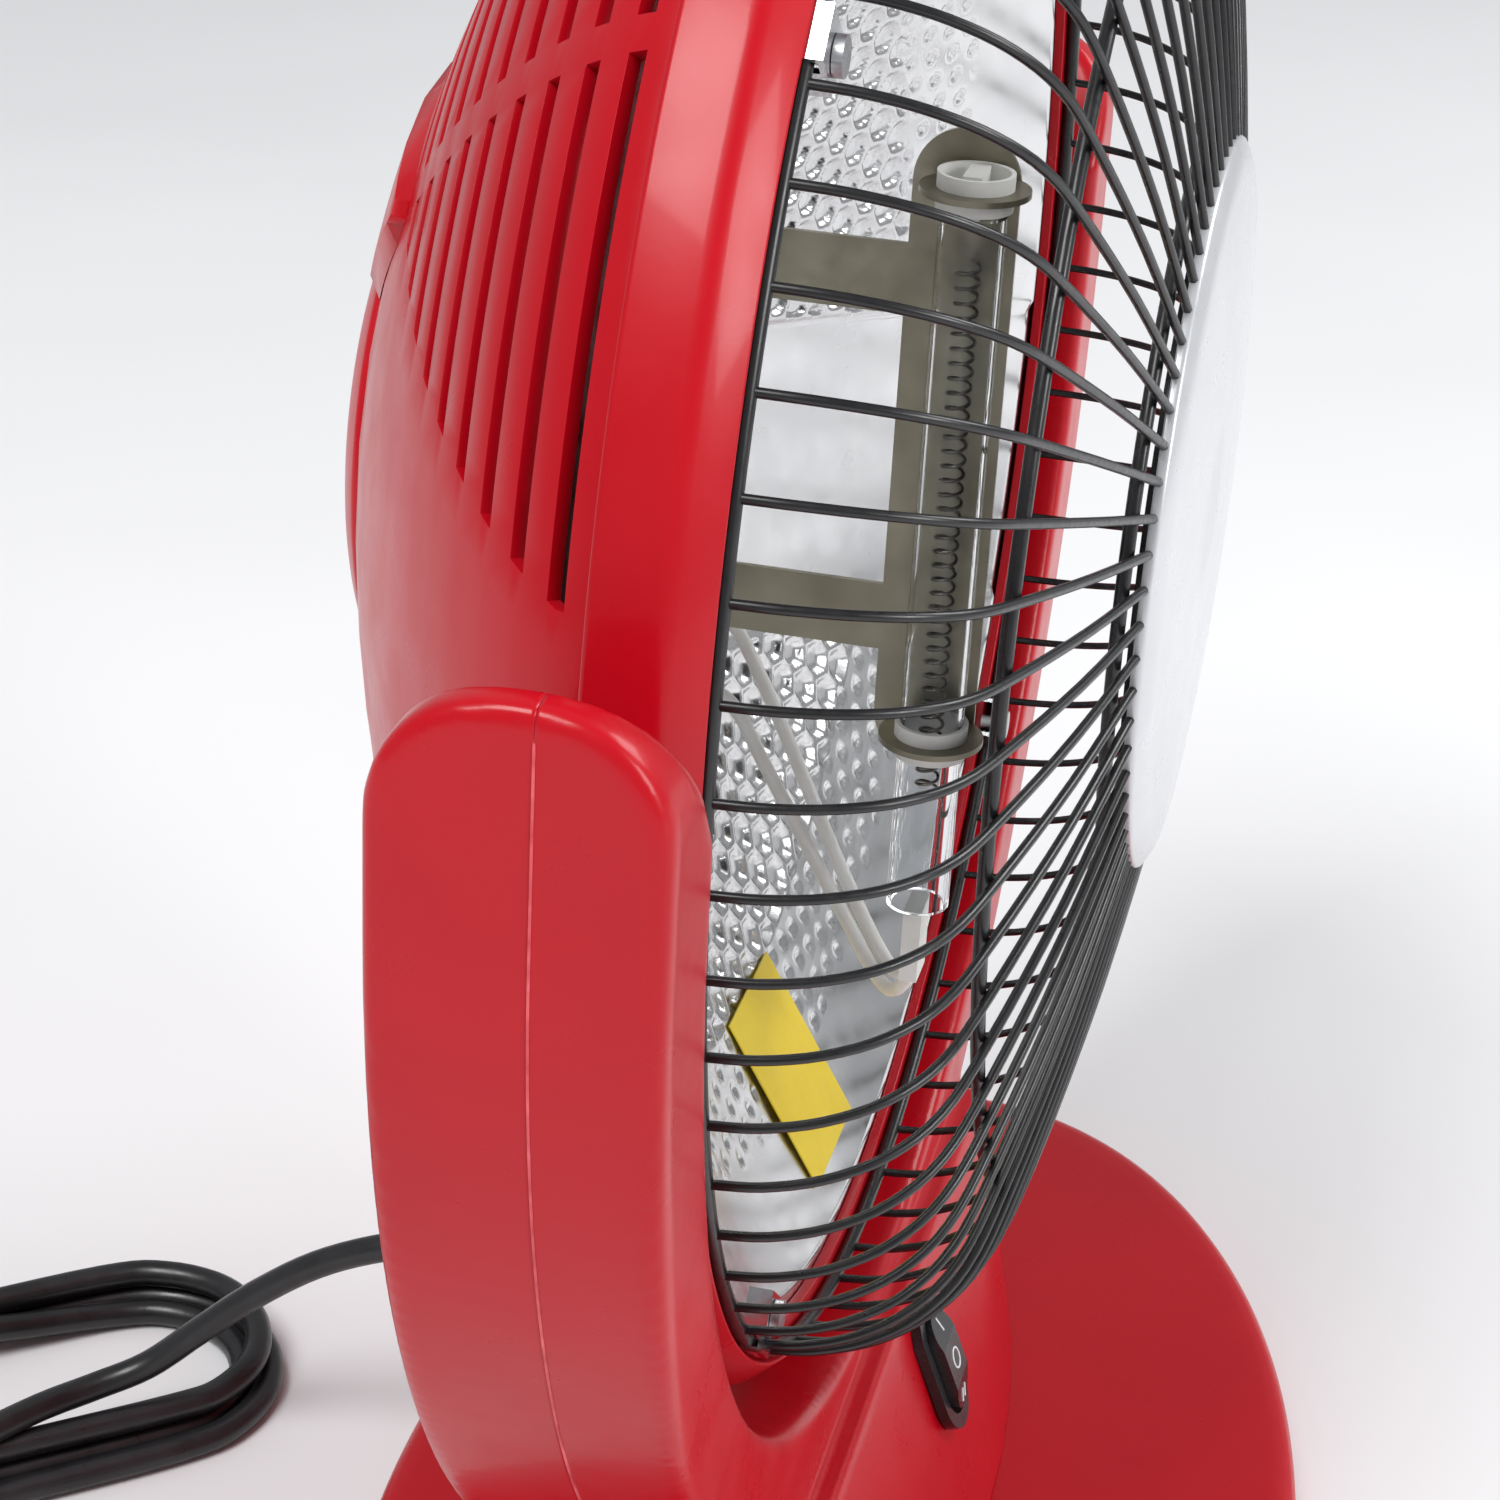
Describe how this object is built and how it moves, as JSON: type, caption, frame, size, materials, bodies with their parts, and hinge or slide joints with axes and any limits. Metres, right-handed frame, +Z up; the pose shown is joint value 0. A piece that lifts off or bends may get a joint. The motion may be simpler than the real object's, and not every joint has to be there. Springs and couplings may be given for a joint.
{
  "type": "radiant heater",
  "caption": "Fan-shaped radiant room heater: a round drum with a wire guard, dish reflector and quartz tube tilts in a U-shaped yoke on an oval base.",
  "frame": {"origin": "centre of the object's box, on the table under the base", "axes": "-Y is the front, where the guard faces; +Z is up; +X is the side away from the near arm"},
  "size_m": [0.36, 0.3502, 0.378],
  "materials": {
    "red_gloss": "glossy moulded plastic",
    "black_plastic": "satin moulded plastic",
    "black_gloss": "gloss plastic",
    "black_wire": "gloss coated wire",
    "silver_disc": "satin silver paint",
    "mirror_dish": "polished, embossed",
    "shield_metal": "mill finish",
    "bracket_metal": "olive grey, satin",
    "chrome": "bright",
    "steel": "zinc plated",
    "iron": "plain",
    "quartz": "clear",
    "filament": "dark wire",
    "white_ceramic": "matt ceramic",
    "white_silicone": "sleeving",
    "ivory_plastic": "moulded plastic",
    "yellow_label": "blank foil label",
    "rubber_foot": "matt",
    "cord_pvc": "smooth flexible sheath"
  },
  "bodies": {
    "stand": {"base_shell": "red_gloss", "base_plate": "black_plastic", "ballast_weight": "iron", "rubber_feet": "rubber_foot", "base_screws": "steel", "yoke_front_shell": "red_gloss", "yoke_rear_shell": "red_gloss", "yoke_screws": "steel", "pivot_bushes": "ivory_plastic", "switch_bezel": "black_gloss", "switch_body": "black_plastic", "terminal_block": "ivory_plastic", "stand_wiring": "cord_pvc", "cord_gland": "cord_pvc", "cord_lead": "cord_pvc", "cord_hank": "cord_pvc", "cord_tail": "cord_pvc", "mains_plug": "black_plastic", "plug_pins": "steel"},
    "rocker": {"switch_rocker": "black_gloss"},
    "head": {"front_band": "red_gloss", "rear_cover": "red_gloss", "rear_disc": "red_gloss", "drum_screws": "steel", "pivot_pins": "steel", "pivot_spacers": "ivory_plastic", "pivot_nuts": "steel", "reflector_dish": "mirror_dish", "heat_shield": "shield_metal", "tube_bracket": "bracket_metal", "bracket_screws": "steel", "quartz_tube": "quartz", "filament": "filament", "tube_seals": "white_ceramic", "ceramic_rings": "white_ceramic", "tube_leads": "white_silicone", "thermal_cutout": "steel", "blank_label": "yellow_label", "guard_outer_ring": "black_wire", "guard_corner_ring": "black_wire", "guard_inner_ring": "black_wire", "guard_wires": "black_wire", "guard_disc": "silver_disc", "guard_back_plate": "black_wire", "guard_centre_screw": "steel", "guard_clips": "chrome", "clip_screws": "steel"}
  },
  "joints": [
    {"name": "head_tilt", "type": "hinge", "parent": "stand", "child": "head", "pos_m": [0, 0.012, 0.226], "axis": [1, 0, 0], "range_deg": [-20, 15]},
    {"name": "switch_rock", "type": "hinge", "parent": "stand", "child": "rocker", "pos_m": [0, -0.01422, 0.04963], "axis": [1, 0, 0], "range_deg": [-11, 11]}
  ]
}
